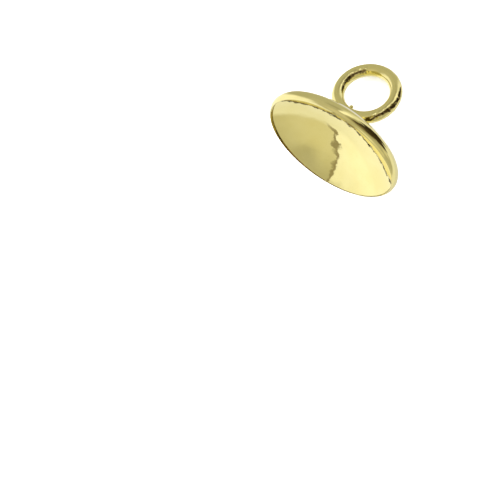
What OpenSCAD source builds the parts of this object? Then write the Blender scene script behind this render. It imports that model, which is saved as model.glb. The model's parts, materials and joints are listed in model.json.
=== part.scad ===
// Bead cup: a round domed cap with a wire loop soldered to its crown.
// A bead is glued into the hollow, and the loop hangs it. The cup lies on a flat surface as it
// would by itself, on its shoulder and the tip of its loop. Sizes are in millimetres.

/* [Cup] */
// Outside diameter of the cup at its rim
cup_d = 10; // [9.2:0.1:10.2]
// Height of the dome, from the plane of the rim to the crown
cup_h = 2.36; // [2.3:0.02:2.6]
// Outer radius of curvature of the crown, flatter than the shoulder
crown_r = 8.7; // [8.0:0.1:9.5]
// Radius that the outside of the rim is rounded with, under the shoulder
rim_r = 0.46; // [0.36:0.02:0.5]
// Width of the rim, from its outside to the mouth
rim_w = 0.22; // [0.14:0.02:0.34]
// Thickness of the wall under the crown, at the deepest point of the hollow
wall = 0.4; // [0.35:0.05:0.65]
// How far the hollow was pressed off the axis, across the loop, which leaves a lip on that side
hollow_offset = 0.3; // [0.05:0.05:0.35]

/* [Loop] */
// Diameter of the loop's round wire
wire_d = 0.86; // [0.6:0.02:1.0]
// Diameter of the hole through the loop
loop_hole_d = 3.1; // [2.5:0.1:4.0]
// Height of the solder joint between the crown and the wire
loop_lift = 0.28; // [0.1:0.02:0.4]
// How far the loop was soldered off the cup's axis, along its own plane
loop_offset = 0.2; // [-0.4:0.05:0.4]

/* [Solder] */
// Length of the solder foot along the wire
foot_l = 1.9; // [1.2:0.1:2.4]
// Width of the solder foot across the wire
foot_w = 0.66; // [0.5:0.02:0.8]
// Radius of the hollow fillet that runs round the foot
foot_fillet = 0.22; // [0.1:0.01:0.3]
// Diameter of the small bead of solder left on the wire inside the loop
nub_d = 0.3; // [0.2:0.02:0.4]
// Angle of that bead from the bottom of the loop, seen along the loop's hole
nub_angle = 15; // [-30:1:30]

/* [Hidden] */
$fn = 96;

// The sections are drawn with X outwards from the cup's own axis and Y up it, the rim at 0.
cup_r = cup_d / 2;
rim_x = cup_r - rim_r;
crown_y = cup_h - crown_r;
crown_drop = rim_r - crown_y;

// The shoulder's arc leaves the crown's without a corner and stands upright where the rim begins.
shoulder_r = (pow(crown_r, 2) - pow(cup_r, 2) - pow(crown_drop, 2)) / (2 * (crown_r - cup_r));
shoulder_x = cup_r - shoulder_r;
shoulder_angle = atan2(shoulder_x, crown_drop);

// The hollow is part of a ball that meets the mouth's edge on one side and ends at the top of a
// straight lip on the other.
mouth_r = cup_r - rim_w;
mouth_z = rim_r - sqrt(pow(rim_r, 2) - pow(mouth_r - rim_x, 2));
hollow_reach = mouth_r + hollow_offset;
hollow_depth = cup_h - wall - mouth_z;
hollow_r = (pow(hollow_reach, 2) + pow(hollow_depth, 2)) / (2 * hollow_depth);
hollow_z = cup_h - wall - hollow_r;

wire_r = wire_d / 2;
ring_r = (loop_hole_d + wire_d) / 2;
ring_z = cup_h + loop_lift + wire_r + ring_r;
tip_z = ring_z + ring_r;

// The foot starts inside the wall and ends inside the wire, so that the solder joins both. Its
// fillet comes down to the crown at the foot's ends.
foot_z = cup_h - wall / 2;
foot_edge = foot_l / 2 + foot_fillet;
foot_base = crown_y + sqrt(pow(crown_r, 2) - pow(foot_edge, 2));
foot_in_wire = 0.55 * wire_r;
foot_top = cup_h + loop_lift + foot_in_wire;
foot_straight = foot_l - foot_w;

// At rest the surface touches the arc of the shoulder and the wire at the loop's tip. Seen along
// the surface both are circles, so the slope of the axis follows from their common tangent.
tip_reach = norm([shoulder_x, tip_z - rim_r]);
rest_slope = acos((wire_r - shoulder_r) / tip_reach) - atan2(tip_z - rim_r, shoulder_x);

// How far the part reaches below the middle of its rim, and to the loop's and the rim's side.
rest_z = shoulder_x * cos(rest_slope) + rim_r * sin(rest_slope) + shoulder_r;
tip_x = tip_z * cos(rest_slope) + wire_r;
low_x = -rim_x * sin(rest_slope) + rim_r * cos(rest_slope) - rim_r;
rest_x = -(tip_x + low_x) / 2;

// The part of the section under the crown's arc, down to the plane of the rim.
module crown_section() {
    reach = 2 * crown_r;
    intersection() {
        translate([0, crown_y]) circle(r = crown_r);
        polygon([
            [0, 0],
            [0, crown_y + reach],
            [reach * sin(shoulder_angle), crown_y + reach * cos(shoulder_angle)],
            [-crown_y * tan(shoulder_angle), 0]
        ]);
    }
}

// The part of the section under the shoulder's arc, down to where the rounding of the rim begins.
module shoulder_section() {
    intersection() {
        translate([shoulder_x, rim_r]) circle(r = shoulder_r);
        translate([0, rim_r]) square(cup_r);
    }
}

module dome_section() {
    crown_section();
    shoulder_section();
    square([rim_x, rim_r]);
    translate([rim_x, rim_r]) circle(r = rim_r);
}

module hollow() {
    intersection() {
        translate([0, -hollow_offset, hollow_z]) sphere(r = hollow_r);
        translate([0, 0, -rim_r]) cylinder(r = mouth_r, h = rim_r + cup_h);
    }
}

module cup() {
    difference() {
        rotate_extrude() dome_section();
        hollow();
    }
}

// The loop and the solder drop inside it, about the loop's own centre.
module loop() {
    rotate([90, 0, 0]) rotate_extrude() translate([ring_r, 0]) circle(r = wire_r);
}

module nub() {
    rotate([0, nub_angle, 0]) translate([0, 0, wire_r - ring_r]) sphere(d = nub_d);
}

// Half of the foot's section across the wire: an upright side with a hollow fillet at its base.
module foot_section() {
    reach = foot_w / 2 + foot_fillet;
    base = foot_base - foot_z;
    difference() {
        union() {
            square([foot_w / 2, foot_top - foot_z]);
            square([reach, base + foot_fillet]);
        }
        translate([reach, base + foot_fillet]) circle(r = foot_fillet);
    }
}

module solder_foot() {
    translate([0, 0, foot_z]) {
        for (end = [-1, 1]) translate([end * foot_straight / 2, 0, 0])
            rotate_extrude() foot_section();
        for (side = [0, 180]) rotate([0, 0, side]) translate([-foot_straight / 2, 0, 0])
            rotate([90, 0, 90]) linear_extrude(foot_straight) foot_section();
    }
}

// Turns the part from its rim onto its side and stands it on the surface, about its middle.
module at_rest() {
    translate([rest_x, 0, rest_z]) rotate([0, 90 + rest_slope, 0]) rotate([0, 0, -90]) children();
}

module bead_cup() {
    color([0.86, 0.78, 0.47]) at_rest() {
        cup();
        translate([-loop_offset, 0, 0]) {
            solder_foot();
            translate([0, 0, ring_z]) {
                loop();
                nub();
            }
        }
    }
}

bead_cup();
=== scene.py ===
"""A bead cup: a domed cap with a wire loop on its crown, lying on its side on a pale floor.

The sizes of the pieces are in millimetres, in the cup's own frame: Z runs along the axis from the
rim to the crown, X lies in the plane of the loop and Y runs through its hole.
"""

import json
import math

import bmesh
import bpy
from mathutils import Matrix, Vector


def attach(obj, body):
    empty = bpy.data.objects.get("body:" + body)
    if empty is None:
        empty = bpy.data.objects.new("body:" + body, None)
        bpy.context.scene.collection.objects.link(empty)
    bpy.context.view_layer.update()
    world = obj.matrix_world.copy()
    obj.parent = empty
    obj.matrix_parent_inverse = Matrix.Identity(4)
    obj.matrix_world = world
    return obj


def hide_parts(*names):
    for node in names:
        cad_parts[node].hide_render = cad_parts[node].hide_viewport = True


bl_info = {
    "name": "Bead Cup",
    "version": (1, 0, 0),
    "blender": (4, 5, 0),
    "location": "3D View > Sidebar > Bead Cup",
    "description": "Makes a domed bead cup with a wire loop, and the studio that it lies in",
    "category": "Add Mesh",
}

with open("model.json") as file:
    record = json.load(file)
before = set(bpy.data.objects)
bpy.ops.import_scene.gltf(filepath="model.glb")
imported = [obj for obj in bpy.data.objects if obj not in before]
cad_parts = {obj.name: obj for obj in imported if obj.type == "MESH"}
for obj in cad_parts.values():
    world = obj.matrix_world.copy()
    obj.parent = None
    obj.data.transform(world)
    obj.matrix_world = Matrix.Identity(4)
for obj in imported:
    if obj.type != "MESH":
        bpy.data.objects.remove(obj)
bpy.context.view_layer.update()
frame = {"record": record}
CAD_NODE = "bead_cup"
BODY = "root"
MOUNTS = {mount["name"]: mount for mount in frame["record"]["mounts"]}
MM = 0.001

# Marks on the points of a mesh: how dark the metal is there, with painted shade for the dark
# things that it mirrors along the mouth's edge and the wire's torn lines, and a faint unpolished
# edge round the mouth; and how far a point of the cup's section follows the offset of the hollow.
CUT_AND_PAINTED_SHADE = "cut_and_painted_shade"
PRESSED = "pressed"
# Painted shade: the colour that the marked metal darkens to.
CUT_AND_SHADE_COLOUR = (0.26, 0.18, 0.07)

# How many faces each part of the cup's section has. Points nearer than this, in mm, are joined.
HOLLOW_STEPS = 160
LIP_STEPS = 8
EDGE_STEPS = 8
RIM_STEPS = 18
SHOULDER_STEPS = 26
CROWN_STEPS = 84
JOINED = 0.0002

# The mouth's edge is darkest towards the dark side, with painted shade where the rim mirrors the
# shade on the floor by the far rim. It begins to darken and is dark in full at these cosines of
# the angle from it, and elsewhere it keeps this share of the darkness, a faint unpolished edge.
DARK_BEGINS = 0.6
DARK_IN_FULL = 0.9
DARK_ELSEWHERE = 0.25

# Where the wire is torn: rough, with a slot of painted shade along each line for the dark things
# that it mirrors there. Each line is a row of angles along the loop, from its lowest point, and
# round the wire.
TORN_AND_SHADED_LINES = (
    ((-80, -132), (-93, -128), (-104, -126), (-113, -128), (-122, -128), (-135, -130),
     (-145, -128)),
    ((102, -36), (91, -28), (75, -38), (68, -46), (60, -46), (52, -48), (44, -38), (37, -30)),
)

# How the tears look. The metal is rough beside a line, in waves of this size in mm, and that
# fades by this much with the square of the distance in scar widths. Crumbs, of noise this fine,
# widen the slot of painted shade by up to this many scar widths, and its edge is soft between
# these.
TORN_WAVE = 0.25
TORN_FADE = 0.4
CRUMB_SCALE = 5.0
CRUMBS = 1.6
PAINTED_SLOT_EDGE = (0.15, 0.35)

# Faces along the loop and round its wire, how fine the drop's faces are, and how far its middle
# stands off the wire, in its own radii.
WIRE_STEPS_ALONG = 320
WIRE_STEPS_ROUND = 64
DROP_SUBDIVISIONS = 4
DROP_RISE = 0.7

# The size and height of the waves on the wire and on the solder, as shares of those on the cup.
WAVE_SIZE_ON_WIRE = 0.35
WAVE_SIZE_ON_SOLDER = 0.5
WAVE_HEIGHT_ON_SOLDER = 4

# The solder foot: its faces round and up, how far it is sunk into the crown in mm, how far down
# the wire its tangent is taken, and how far its curve is pulled along its ends' tangents.
FOOT_STEPS_ROUND = 128
FOOT_STEPS_UP = 20
FOOT_SUNK = 0.02
FOOT_TANGENT = 0.8
FOOT_PULL = 0.55

# The plate's clouds of colour, of gloss and of darkness on the marks of unpolished edge and
# painted shade, and its grain, as scales of noise. Each span is the part of the noise that runs
# from the first look to the second. A mark keeps at least this share of its darkness.
COLOUR_CLOUDS = 0.55
COLOUR_SPAN = (0.35, 0.65)
GLOSS_CLOUDS = 2.3
GLOSS_SPAN = (0.3, 0.7)
CUT_AND_SHADE_CLOUDS = 1.7
CUT_AND_SHADE_SPAN = (0.3, 0.5)
GRAIN = 7.0
CUT_AND_SHADE_LEAST = 0.35

# What the polished metal mirrors, by direction: a room, a pale sheet beside it, and dark things
# in front of both. Each patch is a colour, then the middle, the half width and the softness in
# degrees of its azimuth (0 is -Y, 90 is +X), the same of its elevation, and how far its edge is
# ragged, in degrees. A later patch lies over an earlier one.
ROOM = (0.46, 0.44, 0.335)
ROOM_PATCHES = (
    ((0.70, 0.665, 0.50), (262, 3, 54), (2, 10, 48), 0),
    ((0.60, 0.56, 0.43), (0, 180, 1), (90, 8, 28), 0),
    ((0.99, 0.98, 0.95), (206, 47.5, 1.2), (0, 40, 26), 9),
    ((1.10, 1.09, 1.06), (226, 8, 24), (6, 6, 26), 0),
    ((0.50, 0.48, 0.37), (136, 14, 32), (0, 60, 20), 0),
    ((0.32, 0.28, 0.19), (254.3, 1.2, 1.4), (22, 36, 6), 9),
    ((0.37, 0.35, 0.26), (98, 6, 16), (6, 24, 16), 0),
    ((0.84, 0.81, 0.64), (312, 6, 20), (37, 6, 16), 0),
    ((0.20, 0.165, 0.09), (28, 14, 20), (34, 12, 24), 0),
    ((1.04, 1.02, 0.96), (74, 4, 9), (20, 32, 10), 0),
    ((0.63, 0.595, 0.45), (318, 8, 10), (14, 8, 8), 0),
    ((0.47, 0.445, 0.335), (288, 6, 16), (34, 6, 16), 0),
    ((0.66, 0.63, 0.49), (352, 7, 7), (-9, 6, 6), 0),
)
SHEET = (0.84, 0.83, 0.77)
SHEET_PATCHES = (
    ((1.05, 1.04, 1.01), (200, 24, 38), (0, 60, 30), 0),
    ((0.47, 0.455, 0.35), (125, 32, 16), (0, 40, 20), 0),
    ((0.72, 0.71, 0.68), (0, 180, 1), (-90, 30, 15), 0),
)
FRONT_PATCHES = (
    ((0.035, 0.024, 0.010), (51, 13, 4), (-24, 20, 5), 4),
    ((0.035, 0.024, 0.010), (39, 14, 4), (-4, 19, 5), 4),
    ((0.050, 0.035, 0.015), (28, 10, 5), (14, 13, 7), 4),
    ((0.045, 0.030, 0.012), (24, 11, 3), (-13, 14, 4), 4),
    ((0.050, 0.035, 0.015), (41, 6, 3), (30, 15, 5), 4),
)

# The normal of the plane between the sheet and the room, how far to each side of that plane the
# one fades into the other, and how fine the ragged edges are.
SHEET_NORMAL = (-0.276, -0.371, 0.887)
SHEET_EDGE = (-0.10, 0.05)
RAGGED_SCALE = 7.0

# The floor's half width is in metres. The floor and the flag are this rough.
FLOOR_HALF_WIDTH = 0.4
FLOOR_COLOUR = (0.93, 0.93, 0.92)
MATT = 0.9

# The shade card is a low black card: painted shade, standing for the shade on the floor by the
# far rim, that only the metal mirrors. Its edge is torn by waves, this many to a turn, which take
# this share of its height. The finest have this share of the others, and this share always
# stands.
SHADE_CARD_COLOUR = (0.02, 0.015, 0.008)
SHADE_CARD_STEPS = 480
SHADE_CARD_TEARS = (11, 37, 83)
SHADE_CARD_TORN = 0.8
SHADE_CARD_FINE_TORN = 0.7
SHADE_CARD_LEAST = 0.1

# The image's width and height, and where the middle of the mouth is in it, in pixels from its top
# left corner.
IMAGE_SIZE = 500
MOUTH_PIXEL = (330.08, 149.57)


# ---- Settings


class CupSettings(bpy.types.PropertyGroup):
    diameter: bpy.props.FloatProperty(
        name="Cup diameter", description="Outside diameter at the rim, mm", default=10.0)
    height: bpy.props.FloatProperty(
        name="Dome height", description="From the rim's plane to the crown, mm", default=2.36)
    crown_radius: bpy.props.FloatProperty(
        name="Crown radius", description="Outer radius of curvature of the crown, mm", default=8.7)
    wall: bpy.props.FloatProperty(
        name="Wall", description="Thickness at the deepest point of the hollow, mm",
        default=0.40)
    rim: bpy.props.FloatProperty(
        name="Rim rounding", description="Radius of the outside of the rim, mm", default=0.46)
    rim_width: bpy.props.FloatProperty(
        name="Rim width", description="From the outside of the rim to the mouth, mm",
        default=0.22)
    edge: bpy.props.FloatProperty(
        name="Mouth edge", description="Radius of the edge round the mouth, mm", default=0.02)
    # The mark on the mouth's edge is a faint unpolished edge, with painted shade towards the dark
    # side.
    cut_and_shade_width: bpy.props.FloatProperty(
        name="Cut and shade width", description="Width of the unpolished cut at that edge, mm",
        default=0.02)
    hollow_offset: bpy.props.FloatProperty(
        name="Hollow offset",
        description="How far the hollow was pressed off the axis, across the loop, mm",
        default=0.3)
    # Where the painted shade on the mouth's edge is darkest: the side that mirrors the floor's
    # shade.
    dark_side: bpy.props.FloatProperty(
        name="Dark side", description="Where the cut edge is darkest, round the cup's axis",
        default=math.radians(117.5), subtype="ANGLE")
    steps: bpy.props.IntProperty(
        name="Steps round", description="Faces round the cup", default=288, min=24)


class LoopSettings(bpy.types.PropertyGroup):
    wire: bpy.props.FloatProperty(
        name="Wire", description="Diameter of the wire, mm", default=0.86)
    hole: bpy.props.FloatProperty(
        name="Hole", description="Diameter of the hole through the loop, mm", default=3.1)
    lift: bpy.props.FloatProperty(
        name="Lift", description="Height of the solder under the wire, mm", default=0.28)
    offset: bpy.props.FloatProperty(
        name="Offset", description="Of the loop off the cup's axis, in its own plane, mm",
        default=-0.2)
    nub_size: bpy.props.FloatProperty(
        name="Solder drop", description="Radius of the drop inside the loop, mm", default=0.13)
    nub_angle: bpy.props.FloatProperty(
        name="Drop angle", description="From the loop's lowest point", default=math.radians(15),
        subtype="ANGLE")
    scar_depth: bpy.props.FloatProperty(
        name="Scar depth", description="Of the torn lines where the solder splashed, mm",
        default=0.08)
    # The slot of painted shade along a torn line scales with this width.
    scar_and_shade_width: bpy.props.FloatProperty(
        name="Scar and shade width", description="Half the width of a torn line, mm", default=0.14)


class SolderSettings(bpy.types.PropertyGroup):
    length: bpy.props.FloatProperty(
        name="Foot length", description="Length on the crown, along the wire, mm", default=2.34)
    width: bpy.props.FloatProperty(
        name="Foot width", description="Width on the crown, across the wire, mm", default=1.10)
    reach: bpy.props.FloatProperty(
        name="Reach along", description="How far the solder runs up the wire",
        default=math.radians(22), subtype="ANGLE")
    wrap: bpy.props.FloatProperty(
        name="Reach round", description="How far the solder runs round the wire",
        default=math.radians(56), subtype="ANGLE")


class FinishSettings(bpy.types.PropertyGroup):
    gold: bpy.props.FloatVectorProperty(
        name="Gold", description="Colour of the plate", subtype="COLOR", size=3,
        default=(0.905, 0.820, 0.395))
    deep_gold: bpy.props.FloatVectorProperty(
        name="Deep gold", description="Colour where the plate is thicker", subtype="COLOR",
        size=3, default=(0.875, 0.780, 0.345))
    solder_gold: bpy.props.FloatVectorProperty(
        name="Gold on solder", description="Colour of the plate over the solder",
        subtype="COLOR", size=3, default=(0.860, 0.700, 0.280))
    wave: bpy.props.FloatProperty(
        name="Polish waves", description="Height of the waves left by polishing, mm",
        default=0.010)
    wave_size: bpy.props.FloatProperty(
        name="Wave size", description="Width of those waves, mm", default=1.2)


class StudioSettings(bpy.types.PropertyGroup):
    azimuth: bpy.props.FloatProperty(
        name="Azimuth", description="Of the camera round the cup",
        default=math.radians(14.47), subtype="ANGLE")
    elevation: bpy.props.FloatProperty(
        name="Elevation", description="Of the camera above the floor",
        default=math.radians(64.54), subtype="ANGLE")
    roll: bpy.props.FloatProperty(
        name="Roll", description="Of the camera about its own view",
        default=math.radians(-82.77), subtype="ANGLE")
    distance: bpy.props.FloatProperty(
        name="Distance", description="From the camera to the cup", default=0.4, unit="LENGTH")
    light: bpy.props.FloatProperty(
        name="Light", description="Strength of what the metal mirrors", default=1.09)
    floor_light: bpy.props.FloatProperty(
        name="Floor light", description="Strength of the light on the floor", default=2.8)
    # The black card is painted shade: it stands for the shade on the floor by the far rim.
    shade_card_angle: bpy.props.FloatProperty(
        name="Shade card angle", description="Of the black card, round the cup's axis",
        default=math.radians(117.5), subtype="ANGLE")
    shade_card_reach: bpy.props.FloatProperty(
        name="Shade card reach", description="Of the black card to each side",
        default=math.radians(100), subtype="ANGLE")
    shade_card_height: bpy.props.FloatProperty(
        name="Shade card height", description="Of the black card over the rim, mm", default=0.12)
    pixels_per_mm: bpy.props.FloatProperty(
        name="Scale", description="Image pixels to a millimetre at the cup", default=14.885)


# ---- The cup's frame and its section


def place():
    """Turns a point in millimetres in the cup's own frame into metres in the row frame."""
    cup = bpy.context.scene.bead_cup
    seat = MOUNTS["bead_seat"]
    along = -Vector(seat["axis"]).normalized()
    across = -Vector(MOUNTS["loop_eye"]["axis"]).normalized()
    side = across.cross(along)
    turn = Matrix((side, across, along)).transposed().to_4x4()
    deepest = Vector((0.0, -cup.hollow_offset, cup.height - cup.wall))
    origin = Vector(seat["pos_m"]) - turn @ deepest * MM
    return Matrix.Translation(origin) @ turn @ Matrix.Scale(MM, 4)


def loop_centre():
    """The middle of the loop, in the cup's own frame."""
    cup, loop = bpy.context.scene.bead_cup, bpy.context.scene.bead_cup_loop
    return Vector((loop.offset, 0.0, cup.height + loop.lift + loop.wire + loop.hole / 2))


def on_wire(u, v):
    """A point on the loop, at an angle along it from its lowest and one round its wire."""
    loop = bpy.context.scene.bead_cup_loop
    wire = loop.wire / 2
    out = loop.hole / 2 + wire + wire * math.cos(v)
    return loop_centre() + Vector((out * math.sin(u), wire * math.sin(v), -out * math.cos(u)))


def arc(centre, radius, start, end, steps):
    """Points on an arc of the section. Angles are from the cup's axis, towards the rim."""
    points = []
    for i in range(steps + 1):
        a = start + (end - start) * i / steps
        points.append((centre[0] + radius * math.sin(a), centre[1] + radius * math.cos(a)))
    return points


def cup_section():
    """The wall's outline, from the hollow's deepest point round the rim to the crown.

    Each point has its distance from the axis and along it, how dark its mark of unpolished edge
    and painted shade is, and how much of the hollow's offset it follows. The radius of the hollow
    comes with them.
    """
    cup = bpy.context.scene.bead_cup
    rim = cup.diameter / 2
    upright, down = math.pi / 2, math.pi
    crown = (0.0, cup.height - cup.crown_radius)
    drop = cup.rim - crown[1]
    shoulder_radius = (cup.crown_radius ** 2 - rim ** 2 - drop ** 2) / (
        2 * (cup.crown_radius - rim))
    shoulder = (rim - shoulder_radius, cup.rim)
    turn = math.atan2(shoulder[0], drop)
    rounding = (rim - cup.rim, cup.rim)
    mouth = rim - cup.rim_width

    # The edge joins the straight lip to the rounding. The hollow's ball comes down to it on the
    # side that the hollow was pressed away from.
    edge_x = mouth + cup.edge
    edge_y = rounding[1] - math.sqrt((cup.rim - cup.edge) ** 2 - (edge_x - rounding[0]) ** 2)
    edge_turn = math.atan2(edge_x - rounding[0], edge_y - rounding[1])
    depth = cup.height - cup.wall - edge_y - cup.edge / 2
    ball_radius = ((mouth + cup.hollow_offset) ** 2 + depth ** 2) / (2 * depth)
    ball = (0.0, cup.height - cup.wall - ball_radius)
    outline = arc(ball, ball_radius, 0, math.asin(mouth / ball_radius), HOLLOW_STEPS)
    pressed = [1.0] * len(outline)
    lip_top = outline[-1][1]
    for i in range(1, LIP_STEPS + 1):
        share = i / LIP_STEPS
        outline.append((mouth, lip_top + (edge_y - lip_top) * share))
        pressed.append(1 - share)
    outline += arc((edge_x, edge_y), cup.edge, upright + down, edge_turn, EDGE_STEPS)[1:]
    # The mouth's edge takes the mark of unpolished edge and painted shade.
    cut_and_shade = [float(x > mouth - cup.cut_and_shade_width) for x, y in outline]
    outline += arc(rounding, cup.rim, edge_turn, upright, RIM_STEPS)[1:]
    outline += arc(shoulder, shoulder_radius, upright, turn, SHOULDER_STEPS)[1:]
    outline += arc(crown, cup.crown_radius, turn, 0, CROWN_STEPS)[1:]
    rest = [0.0] * len(outline)
    return outline, (cut_and_shade + rest)[:len(rest)], (pressed + rest)[:len(rest)], ball_radius


# ---- Node trees


class Tree:
    """Builds a node tree. A value is a number, or the socket of another node to link to."""

    def __init__(self, tree):
        self.tree = tree

    def add(self, kind, inputs=(), **settings):
        node = self.tree.nodes.new(kind)
        for name, value in settings.items():
            setattr(node, name, value)
        for key, value in dict(inputs).items():
            if isinstance(value, bpy.types.NodeSocket):
                self.tree.links.new(value, node.inputs[key])
            else:
                node.inputs[key].default_value = value
        return node

    def math(self, operation, *values):
        node = self.add("ShaderNodeMath", dict(enumerate(values)), operation=operation)
        return node.outputs[0]

    def scaled(self, vector, scale):
        return self.add("ShaderNodeVectorMath", {0: vector, "Scale": scale},
                        operation="SCALE").outputs[0]

    def noise(self, where, scale, detail=3.0):
        return self.add("ShaderNodeTexNoise", {
            "Vector": where, "Scale": scale, "Detail": detail}).outputs[0]

    def remap(self, value, span, to=(0.0, 1.0), **settings):
        return self.add("ShaderNodeMapRange", {
            "Value": value, "From Min": span[0], "From Max": span[1], "To Min": to[0],
            "To Max": to[1]}, **settings).outputs["Result"]

    def mix(self, share, first, second):
        return self.add("ShaderNodeMix", {0: share, 6: first, 7: second},
                        data_type="RGBA").outputs[2]


def new_group(name, inputs):
    """A Geometry Nodes tree with a geometry input and output, and the named inputs."""
    group = bpy.data.node_groups.new(name, "GeometryNodeTree")
    group.interface.new_socket("Geometry", in_out="INPUT", socket_type="NodeSocketGeometry")
    for label, kind in inputs:
        group.interface.new_socket(label, in_out="INPUT", socket_type=kind)
    group.interface.new_socket("Geometry", in_out="OUTPUT", socket_type="NodeSocketGeometry")
    tree = Tree(group)
    return tree, tree.add("NodeGroupInput").outputs


def swing(tree, noise):
    """Noise from 0 to 1 becomes a swing from -1 to 1."""
    return tree.math("MULTIPLY", tree.math("SUBTRACT", noise, 0.5), 2.0)


def uneven(tree, geometry, height, size):
    """Raises and lowers the surface along its normals, in soft waves of this height and size."""
    here = tree.add("GeometryNodeInputPosition").outputs[0]
    waves = tree.noise(here, tree.math("DIVIDE", 1.0, size), detail=4.0)
    push = tree.scaled(tree.add("GeometryNodeInputNormal").outputs[0],
                       tree.math("MULTIPLY", swing(tree, waves), height))
    return tree.add("GeometryNodeSetPosition", {
        "Geometry": geometry, "Offset": push}).outputs["Geometry"]


def end_group(tree, geometry, finish):
    """Ends the tree with smooth shading, real geometry and the finish."""
    smooth = tree.add("GeometryNodeSetShadeSmooth", {"Geometry": geometry})
    real = tree.add("GeometryNodeRealizeInstances", {"Geometry": smooth.outputs["Geometry"]})
    coated = tree.add("GeometryNodeSetMaterial",
                      {"Geometry": real.outputs["Geometry"], "Material": finish})
    tree.add("NodeGroupOutput", {"Geometry": coated.outputs["Geometry"]})


def turned_section_group():
    """Turns the points of a section, X outwards and Y along the axis, into a closed shell."""
    tree, given = new_group("Turned section", [
        ("Steps round", "NodeSocketInt"), ("Dark side", "NodeSocketFloat"),
        ("Hollow radius", "NodeSocketFloat"), ("Hollow offset", "NodeSocketFloat"),
        ("Wave height", "NodeSocketFloat"), ("Wave size", "NodeSocketFloat"),
        ("Finish", "NodeSocketMaterial")])
    count = tree.add("GeometryNodeAttributeDomainSize",
                     {"Geometry": given["Geometry"]}).outputs["Point Count"]
    sheet = tree.add("GeometryNodeMeshGrid", {
        "Vertices X": tree.math("ADD", given["Steps round"], 1.0), "Vertices Y": count})
    index = tree.add("GeometryNodeInputIndex").outputs[0]
    column = tree.math("FLOOR", tree.math("DIVIDE", tree.math("ADD", index, 0.5), count))
    row = tree.math("SUBTRACT", index, tree.math("MULTIPLY", column, count))
    point = tree.add("GeometryNodeSampleIndex", {
        "Geometry": given["Geometry"],
        "Value": tree.add("GeometryNodeInputPosition").outputs[0],
        "Index": row}, data_type="FLOAT_VECTOR", domain="POINT")

    def along_section(name):
        mark = tree.add("GeometryNodeInputNamedAttribute", {"Name": name}, data_type="FLOAT")
        return tree.add("GeometryNodeSampleIndex", {
            "Geometry": given["Geometry"], "Value": mark.outputs["Attribute"], "Index": row},
            data_type="FLOAT", domain="POINT").outputs[0]

    parts = tree.add("ShaderNodeSeparateXYZ", {0: point.outputs[0]}).outputs
    share = tree.math("DIVIDE", column, given["Steps round"])
    angle = tree.math("MULTIPLY", share, math.tau)

    # How much higher the ball is here than it would be with its middle on the axis.
    out_square = tree.math("MULTIPLY", parts["X"], parts["X"])
    towards = tree.math("MULTIPLY", tree.math("MULTIPLY", parts["X"], -2.0),
                        tree.math("SINE", angle))
    moved = tree.math("MULTIPLY", given["Hollow offset"],
                      tree.math("SUBTRACT", towards, given["Hollow offset"]))
    room = tree.math("SUBTRACT", tree.math(
        "MULTIPLY", given["Hollow radius"], given["Hollow radius"]), out_square)
    lifted = tree.math("SUBTRACT", tree.math("SQRT", tree.math("ADD", room, moved)),
                       tree.math("SQRT", room))
    where = tree.add("ShaderNodeCombineXYZ", {
        "X": tree.math("MULTIPLY", parts["X"], tree.math("COSINE", angle)),
        "Y": tree.math("MULTIPLY", parts["X"], tree.math("SINE", angle)),
        "Z": tree.math("ADD", parts["Y"], tree.math(
            "MULTIPLY", along_section(PRESSED), lifted))})
    shell = tree.add("GeometryNodeSetPosition", {
        "Geometry": sheet.outputs["Mesh"], "Position": where.outputs[0]})
    # Painted shade: the mark is darkest on the dark side, which mirrors the floor's shade.
    facing = tree.math("COSINE", tree.math("SUBTRACT", angle, given["Dark side"]))
    dark = tree.remap(facing, (DARK_BEGINS, DARK_IN_FULL), (DARK_ELSEWHERE, 1.0))
    marked = tree.add("GeometryNodeStoreNamedAttribute", {
        "Geometry": shell.outputs["Geometry"], "Name": CUT_AND_PAINTED_SHADE,
        "Value": tree.math("MULTIPLY", along_section(CUT_AND_PAINTED_SHADE), dark)},
        data_type="FLOAT", domain="POINT").outputs["Geometry"]
    closed = tree.add("GeometryNodeMergeByDistance", {"Geometry": marked, "Distance": JOINED})
    waved = uneven(tree, closed.outputs["Geometry"], given["Wave height"], given["Wave size"])
    end_group(tree, waved, given["Finish"])
    return tree.tree


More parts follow.
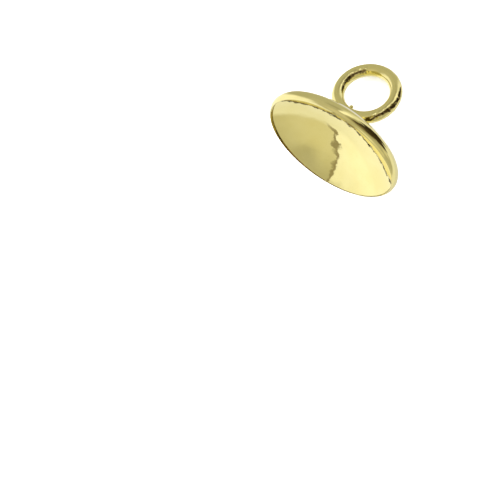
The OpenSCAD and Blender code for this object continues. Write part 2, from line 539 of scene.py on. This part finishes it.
def wire_loop_group():
    """A ring of round wire about Y, with a drop of solder on the inside of its lowest part.

    The edges of the mesh that it starts from are the lines along which the wire is torn, rough
    and with a slot of painted shade.
    """
    tree, given = new_group("Wire loop", [
        ("Scar depth", "NodeSocketFloat"), ("Scar and shade width", "NodeSocketFloat"),
        ("Loop radius", "NodeSocketFloat"), ("Wire radius", "NodeSocketFloat"),
        ("Drop radius", "NodeSocketFloat"), ("Drop angle", "NodeSocketFloat"),
        ("Wave height", "NodeSocketFloat"), ("Wave size", "NodeSocketFloat"),
        ("Finish", "NodeSocketMaterial")])
    path = tree.add("GeometryNodeCurvePrimitiveCircle",
                    {"Resolution": WIRE_STEPS_ALONG, "Radius": given["Loop radius"]})
    section = tree.add("GeometryNodeCurvePrimitiveCircle",
                       {"Resolution": WIRE_STEPS_ROUND, "Radius": given["Wire radius"]})
    swept = tree.add("GeometryNodeCurveToMesh", {
        "Curve": path.outputs["Curve"], "Profile Curve": section.outputs["Curve"]})
    upright = tree.add("GeometryNodeTransform", {
        "Geometry": swept.outputs["Mesh"], "Rotation": (math.pi / 2, 0.0, 0.0)})
    out = tree.math("SUBTRACT", tree.math("ADD", given["Wire radius"], tree.math(
        "MULTIPLY", given["Drop radius"], DROP_RISE)), given["Loop radius"])
    drop = tree.add("GeometryNodeMeshIcoSphere", {
        "Radius": given["Drop radius"], "Subdivisions": DROP_SUBDIVISIONS}).outputs["Mesh"]
    spot = tree.add("ShaderNodeCombineXYZ", {
        "X": tree.math("MULTIPLY", tree.math("SINE", given["Drop angle"]), out),
        "Z": tree.math("MULTIPLY", tree.math("COSINE", given["Drop angle"]), out)}).outputs[0]
    drop = tree.add("GeometryNodeTransform", {
        "Geometry": drop, "Translation": spot}).outputs["Geometry"]
    both = tree.add("GeometryNodeJoinGeometry").inputs[0]
    tree.tree.links.new(drop, both)
    tree.tree.links.new(upright.outputs["Geometry"], both)
    here = tree.add("GeometryNodeInputPosition").outputs[0]
    waved = uneven(tree, both.node.outputs[0], given["Wave height"], given["Wave size"])
    nearest = tree.add("GeometryNodeProximity", {"Geometry": given["Geometry"]},
                       target_element="EDGES").outputs["Distance"]
    off = tree.math("DIVIDE", nearest, given["Scar and shade width"])
    torn = tree.math("EXPONENT", tree.math("MULTIPLY", tree.math("MULTIPLY", off, off),
                                           -TORN_FADE))
    # Painted shade: a ragged dark slot along each torn line, for the dark things the wire mirrors.
    crumbs = tree.math("MULTIPLY", tree.noise(here, CRUMB_SCALE), CRUMBS)
    painted_slot = tree.remap(tree.math("SUBTRACT", crumbs, off), PAINTED_SLOT_EDGE)
    marked = tree.add("GeometryNodeStoreNamedAttribute", {
        "Geometry": waved, "Name": CUT_AND_PAINTED_SHADE, "Value": painted_slot},
        data_type="FLOAT", domain="POINT").outputs["Geometry"]
    rough = uneven(tree, marked, tree.math("MULTIPLY", torn, given["Scar depth"]), TORN_WAVE)
    end_group(tree, rough, given["Finish"])
    return tree.tree


def solder_group():
    """Gives the solder its uneven skin."""
    tree, given = new_group("Solder skin", [
        ("Wave height", "NodeSocketFloat"), ("Wave size", "NodeSocketFloat"),
        ("Finish", "NodeSocketMaterial")])
    waved = uneven(tree, given["Geometry"], given["Wave height"], given["Wave size"])
    end_group(tree, waved, given["Finish"])
    return tree.tree


def mesh_from_group(source, group, values):
    """Runs the group on the source mesh with these inputs and returns the plain mesh."""
    maker = bpy.data.objects.new("maker", source)
    bpy.context.scene.collection.objects.link(maker)
    modifier = maker.modifiers.new("Nodes", "NODES")
    modifier.node_group = group
    sockets = {item.name: item.identifier for item in group.interface.items_tree
               if item.in_out == "INPUT"}
    for name, value in values.items():
        modifier[sockets[name]] = value
    bpy.context.view_layer.update()
    seen = maker.evaluated_get(bpy.context.evaluated_depsgraph_get())
    mesh = bpy.data.meshes.new_from_object(seen)
    bpy.data.objects.remove(maker)
    bpy.data.node_groups.remove(group)
    return mesh


def outward(mesh):
    """Makes the mesh's faces point outwards."""
    work = bmesh.new()
    work.from_mesh(mesh)
    bmesh.ops.recalc_face_normals(work, faces=work.faces)
    if work.calc_volume(signed=True) < 0:
        bmesh.ops.reverse_faces(work, faces=work.faces)
    work.to_mesh(mesh)
    work.free()


def add_piece(name, mesh, matrix):
    """Places the mesh in the row frame and makes it a piece that stands for the CAD node."""
    mesh.name = name
    mesh.transform(matrix)
    outward(mesh)
    mesh.polygons.foreach_set("use_smooth", [True] * len(mesh.polygons))
    piece = bpy.data.objects.new(name, mesh)
    bpy.context.scene.collection.objects.link(piece)
    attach(piece, BODY)
    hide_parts(CAD_NODE)
    return piece


# ---- Finishes


def plated(name, gold, deep, gloss, grain):
    """Pale gold plate: its colour and gloss drift in clouds, and a fine grain breaks its shine.

    Where a surface is marked with unpolished edge and painted shade, it is dark in patches.
    """
    existing = bpy.data.materials.get(name)
    if existing:
        return existing
    material = bpy.data.materials.new(name)
    material.use_nodes = True
    tree = Tree(material.node_tree)
    shader = material.node_tree.nodes["Principled BSDF"]
    shader.inputs["Metallic"].default_value = 1.0
    here = tree.scaled(tree.add("ShaderNodeTexCoord").outputs["Object"], 1 / MM)
    colour = tree.mix(tree.remap(tree.noise(here, COLOUR_CLOUDS), COLOUR_SPAN),
                      (*gold, 1.0), (*deep, 1.0))
    roughness = tree.remap(tree.noise(here, GLOSS_CLOUDS, detail=4.0), GLOSS_SPAN, gloss)
    bump = tree.add("ShaderNodeBump", {
        "Height": tree.noise(here, GRAIN), "Strength": 1.0, "Distance": grain * MM})
    # Painted shade: the marked mouth edge and torn lines darken in patches.
    patchy = tree.remap(tree.noise(here, CUT_AND_SHADE_CLOUDS), CUT_AND_SHADE_SPAN, (CUT_AND_SHADE_LEAST, 1.0))
    cut_and_shade = tree.add("ShaderNodeAttribute", attribute_name=CUT_AND_PAINTED_SHADE).outputs["Fac"]
    colour = tree.mix(tree.math("MULTIPLY", cut_and_shade, patchy), colour, (*CUT_AND_SHADE_COLOUR, 1.0))
    tree.tree.links.new(colour, shader.inputs["Base Color"])
    tree.tree.links.new(roughness, shader.inputs["Roughness"])
    tree.tree.links.new(bump.outputs["Normal"], shader.inputs["Normal"])
    return material


def matt(name, colour):
    """A dull surface of one colour, for the studio."""
    material = bpy.data.materials.new(name)
    material.use_nodes = True
    shader = material.node_tree.nodes["Principled BSDF"]
    shader.inputs["Base Color"].default_value = (*colour, 1.0)
    shader.inputs["Roughness"].default_value = MATT
    return material


def plate_on_cup():
    finish = bpy.context.scene.bead_cup_finish
    return plated("Gold plate on the cup", finish.gold, finish.deep_gold,
                  gloss=(0.03, 0.07), grain=0.0004)


def plate_on_wire():
    finish = bpy.context.scene.bead_cup_finish
    return plated("Gold plate on the wire", finish.gold, finish.deep_gold,
                  gloss=(0.03, 0.07), grain=0.0006)


def plate_on_solder():
    finish = bpy.context.scene.bead_cup_finish
    return plated("Gold plate on the solder", finish.deep_gold, finish.solder_gold,
                  gloss=(0.08, 0.18), grain=0.002)


# ---- Operators


class BEADCUP_OT_dome(bpy.types.Operator):
    """Turns the cup's section into its domed wall"""

    bl_idname = "bead_cup.dome"
    bl_label = "Make Domed Cup"

    def execute(self, context):
        cup, finish = context.scene.bead_cup, context.scene.bead_cup_finish
        points, cut_and_shade, pressed, hollow_radius = cup_section()
        section = bpy.data.meshes.new("section")
        section.from_pydata([(x, y, 0.0) for x, y in points],
                            [(i, i + 1) for i in range(len(points) - 1)], [])
        for name, values in ((CUT_AND_PAINTED_SHADE, cut_and_shade), (PRESSED, pressed)):
            section.attributes.new(name, "FLOAT", "POINT").data.foreach_set("value", values)
        mesh = mesh_from_group(section, turned_section_group(), {
            "Steps round": cup.steps, "Dark side": cup.dark_side,
            "Hollow radius": hollow_radius, "Hollow offset": cup.hollow_offset,
            "Wave height": finish.wave, "Wave size": finish.wave_size,
            "Finish": plate_on_cup()})
        add_piece("cup_dome", mesh, place())
        return {"FINISHED"}


class BEADCUP_OT_loop(bpy.types.Operator):
    """Bends the wire into the closed loop on the crown"""

    bl_idname = "bead_cup.loop"
    bl_label = "Make Wire Loop"

    def execute(self, context):
        loop, finish = context.scene.bead_cup_loop, context.scene.bead_cup_finish
        torn = bpy.data.meshes.new("torn_and_shaded_lines")
        points, links = [], []
        for line in TORN_AND_SHADED_LINES:
            links += [(i, i + 1) for i in range(len(points), len(points) + len(line) - 1)]
            points += [on_wire(math.radians(along), math.radians(around)) - loop_centre()
                       for along, around in line]
        torn.from_pydata(points, links, [])
        mesh = mesh_from_group(torn, wire_loop_group(), {
            "Scar depth": loop.scar_depth, "Scar and shade width": loop.scar_and_shade_width,
            "Loop radius": (loop.hole + loop.wire) / 2, "Wire radius": loop.wire / 2,
            "Drop radius": loop.nub_size, "Drop angle": loop.nub_angle,
            "Wave height": finish.wave, "Wave size": finish.wave_size * WAVE_SIZE_ON_WIRE,
            "Finish": plate_on_wire()})
        add_piece("wire_loop", mesh, place() @ Matrix.Translation(loop_centre()))
        return {"FINISHED"}


class BEADCUP_OT_solder(bpy.types.Operator):
    """Runs the solder between the crown and the wire"""

    bl_idname = "bead_cup.solder"
    bl_label = "Make Solder Foot"

    def execute(self, context):
        finish = context.scene.bead_cup_finish
        points, faces = self.foot(context.scene)
        foot = bpy.data.meshes.new("solder_foot")
        foot.from_pydata(points, [], faces)
        mesh = mesh_from_group(foot, solder_group(), {
            "Wave height": finish.wave * WAVE_HEIGHT_ON_SOLDER,
            "Wave size": finish.wave_size * WAVE_SIZE_ON_SOLDER,
            "Finish": plate_on_solder()})
        add_piece("solder_foot", mesh, place())
        return {"FINISHED"}

    def foot(self, scene):
        """The foot's points and faces. Its side is curves that run from the crown to the wire."""
        cup, loop, solder = scene.bead_cup, scene.bead_cup_loop, scene.bead_cup_solder
        points, faces = [], []
        for i in range(FOOT_STEPS_ROUND):
            turn = math.tau * i / FOOT_STEPS_ROUND
            x = loop.offset + solder.length / 2 * math.cos(turn)
            y = solder.width / 2 * math.sin(turn)
            base = Vector((x, y, cup.height - cup.crown_radius + math.sqrt(
                cup.crown_radius ** 2 - x ** 2 - y ** 2)))
            u, v = solder.reach * math.cos(turn), solder.wrap * math.sin(turn)
            top = on_wire(u, v)
            rise = (top - on_wire(u * FOOT_TANGENT, v * FOOT_TANGENT)).normalized()
            inward = Vector((loop.offset - x, -y, 0.0)).normalized()
            pull = (top - base).length * FOOT_PULL
            near, far = base + inward * pull, top - rise * pull
            base = base - Vector((0, 0, FOOT_SUNK))
            for k in range(FOOT_STEPS_UP + 1):
                t = k / FOOT_STEPS_UP
                points.append((1 - t) ** 3 * base + 3 * (1 - t) ** 2 * t * near
                              + 3 * (1 - t) * t ** 2 * far + t ** 3 * top)
        rows = FOOT_STEPS_UP + 1
        following = [(i + 1) % FOOT_STEPS_ROUND for i in range(FOOT_STEPS_ROUND)]
        for i, j in enumerate(following):
            for k in range(FOOT_STEPS_UP):
                faces.append((i * rows + k, j * rows + k, j * rows + k + 1, i * rows + k + 1))
        low, high = len(points), len(points) + 1
        points += [Vector((loop.offset, 0, cup.height - cup.wall / 2)),
                   Vector((loop.offset, 0, cup.height + loop.lift + loop.wire / 2))]
        for i, j in enumerate(following):
            faces += [(low, j * rows, i * rows),
                      (high, i * rows + FOOT_STEPS_UP, j * rows + FOOT_STEPS_UP)]
        return points, faces


class BEADCUP_OT_studio(bpy.types.Operator):
    """Sets up the pale floor, the studio's light and the camera"""

    bl_idname = "bead_cup.studio"
    bl_label = "Set Up Studio"

    def execute(self, context):
        scene = context.scene
        self.make_floor(scene)
        self.make_shade_card(scene)
        self.light_studio(scene)
        self.aim_camera(scene)
        scene.view_settings.view_transform = "Standard"
        return {"FINISHED"}

    def make_floor(self, scene):
        half = FLOOR_HALF_WIDTH
        mesh = bpy.data.meshes.new("floor")
        mesh.from_pydata([(-half, -half, 0), (half, -half, 0), (half, half, 0), (-half, half, 0)],
                         [], [(0, 1, 2, 3)])
        mesh.materials.append(matt("Pale floor", FLOOR_COLOUR))
        floor = bpy.data.objects.new("floor", mesh)
        scene.collection.objects.link(floor)
        floor.visible_glossy = False

    def make_shade_card(self, scene):
        """A flag: a low black card before the far half of the rim, for the metal's mirror alone.

        It is painted shade, standing for the shade on the floor by the far rim. It is lower
        towards its ends, and its edge is torn.
        """
        studio, cup = scene.bead_cup_studio, scene.bead_cup
        points, faces = [], []
        for i in range(SHADE_CARD_STEPS + 1):
            share = 2 * i / SHADE_CARD_STEPS - 1
            a = studio.shade_card_angle + share * studio.shade_card_reach
            slow, fast, fastest = (math.sin(times * a) for times in SHADE_CARD_TEARS)
            torn = 1 + SHADE_CARD_TORN * (slow * fast + SHADE_CARD_FINE_TORN * fastest)
            height = studio.shade_card_height * (1 - share ** 4) * max(torn, SHADE_CARD_LEAST)
            foot = Vector((math.cos(a), math.sin(a), 0.0)) * cup.diameter / 2
            points += [foot, foot - Vector((0.0, 0.0, height))]
            if i < SHADE_CARD_STEPS:
                faces.append((2 * i, 2 * i + 1, 2 * i + 3, 2 * i + 2))
        mesh = bpy.data.meshes.new("shade_card")
        mesh.from_pydata(points, [], faces)
        mesh.transform(place())
        # Painted shade: the card's black stands for the shade on the floor.
        mesh.materials.append(matt("Painted shade card", SHADE_CARD_COLOUR))
        shade_card = bpy.data.objects.new("shade_card", mesh)
        scene.collection.objects.link(shade_card)
        shade_card.visible_camera = shade_card.visible_diffuse = shade_card.visible_shadow = False

    def light_studio(self, scene):
        world = bpy.data.worlds.new("Studio")
        world.use_nodes = True
        scene.world = world
        world.node_tree.nodes.clear()
        tree = Tree(world.node_tree)
        way = tree.add("ShaderNodeTexCoord").outputs["Generated"]
        x, y, z = tree.add("ShaderNodeSeparateXYZ", {0: way}).outputs
        azimuth = tree.math("DEGREES", tree.math("ARCTAN2", x, tree.math("MULTIPLY", y, -1.0)))
        elevation = tree.math("DEGREES", tree.math("ARCSINE", z))
        ripple = swing(tree, tree.noise(way, RAGGED_SCALE))

        def patched(under, patches):
            for shade, *spans, ragged in patches:
                inside = 1.0
                for angle, (middle, half, soft) in zip((azimuth, elevation), spans):
                    angle = tree.math("ADD", angle, tree.math("MULTIPLY", ripple, ragged))
                    off = tree.math("ABSOLUTE", tree.math(
                        "WRAP", tree.math("SUBTRACT", angle, middle), 180.0, -180.0))
                    inside = tree.math("MULTIPLY", inside, tree.remap(
                        off, (half, half + soft), (1.0, 0.0), interpolation_type="SMOOTHSTEP"))
                under = tree.mix(inside, under, (*shade, 1.0))
            return under

        room = patched((*ROOM, 1.0), ROOM_PATCHES)
        sheet = patched((*SHEET, 1.0), SHEET_PATCHES)
        depth = tree.add("ShaderNodeVectorMath", {
            0: way, 1: Vector(SHEET_NORMAL).normalized()}, operation="DOT_PRODUCT")
        above = tree.remap(depth.outputs["Value"], SHEET_EDGE, interpolation_type="SMOOTHSTEP")
        seen = patched(tree.mix(above, sheet, room), FRONT_PATCHES)

        # The floor has plain white light, and only what is mirrored shows the room.
        mirrored = tree.add("ShaderNodeLightPath").outputs["Is Glossy Ray"]
        colour = tree.mix(mirrored, (1.0, 1.0, 1.0, 1.0), seen)
        studio = scene.bead_cup_studio
        strength = tree.add("ShaderNodeMix", {
            0: mirrored, 2: studio.floor_light, 3: studio.light}).outputs[0]
        light = tree.add("ShaderNodeBackground", {"Color": colour, "Strength": strength})
        tree.add("ShaderNodeOutputWorld", {"Surface": light.outputs[0]})

    def aim_camera(self, scene):
        studio = scene.bead_cup_studio
        mouth = place() @ Vector((0.0, 0.0, 0.0))
        a, e = studio.azimuth, studio.elevation
        back = Vector((math.sin(a) * math.cos(e), -math.cos(a) * math.cos(e), math.sin(e)))
        level = Vector((math.cos(a), math.sin(a), 0.0))
        above = back.cross(level)
        right = level * math.cos(studio.roll) + above * math.sin(studio.roll)
        up = above * math.cos(studio.roll) - level * math.sin(studio.roll)
        facing = Matrix((right, up, back)).transposed()
        scale = studio.pixels_per_mm / MM
        middle = IMAGE_SIZE / 2
        ray = Vector(((MOUTH_PIXEL[0] - middle) / scale, (middle - MOUTH_PIXEL[1]) / scale,
                      -studio.distance))
        turn = ray.rotation_difference(Vector((0.0, 0.0, -1.0))).to_matrix()
        camera = bpy.data.objects.new("camera", bpy.data.cameras.new("camera"))
        scene.collection.objects.link(camera)
        camera.matrix_world = Matrix.Translation(mouth + back * ray.length) @ (
            facing @ turn).to_4x4()
        camera.data.lens = camera.data.sensor_width * studio.distance / (IMAGE_SIZE / scale)
        camera.data.clip_start = studio.distance / 10
        scene.camera = camera


class BEADCUP_PT_panel(bpy.types.Panel):
    """Lists the pieces of the bead cup and their sizes"""

    bl_label = "Bead Cup"
    bl_idname = "BEADCUP_PT_panel"
    bl_space_type = "VIEW_3D"
    bl_region_type = "UI"
    bl_category = "Bead Cup"

    def draw(self, context):
        for operator, groups in PIECES:
            box = self.layout.box()
            box.operator(operator)
            for settings in (getattr(context.scene, group) for group in groups):
                for name in settings.__annotations__:
                    box.prop(settings, name)


PIECES = (
    ("bead_cup.dome", ("bead_cup", "bead_cup_finish")),
    ("bead_cup.loop", ("bead_cup_loop",)),
    ("bead_cup.solder", ("bead_cup_solder",)),
    ("bead_cup.studio", ("bead_cup_studio",)),
)
GROUPS = {
    "bead_cup": CupSettings,
    "bead_cup_loop": LoopSettings,
    "bead_cup_solder": SolderSettings,
    "bead_cup_finish": FinishSettings,
    "bead_cup_studio": StudioSettings,
}
CLASSES = (*GROUPS.values(), BEADCUP_OT_dome, BEADCUP_OT_loop, BEADCUP_OT_solder,
           BEADCUP_OT_studio, BEADCUP_PT_panel)


def register():
    for cls in CLASSES:
        bpy.utils.register_class(cls)
    for name, group in GROUPS.items():
        setattr(bpy.types.Scene, name, bpy.props.PointerProperty(type=group))


def unregister():
    for name in GROUPS:
        delattr(bpy.types.Scene, name)
    for cls in reversed(CLASSES):
        bpy.utils.unregister_class(cls)


def main():
    register()
    bpy.ops.bead_cup.dome()
    bpy.ops.bead_cup.loop()
    bpy.ops.bead_cup.solder()
    bpy.ops.bead_cup.studio()


if __name__ == "__main__":
    main()
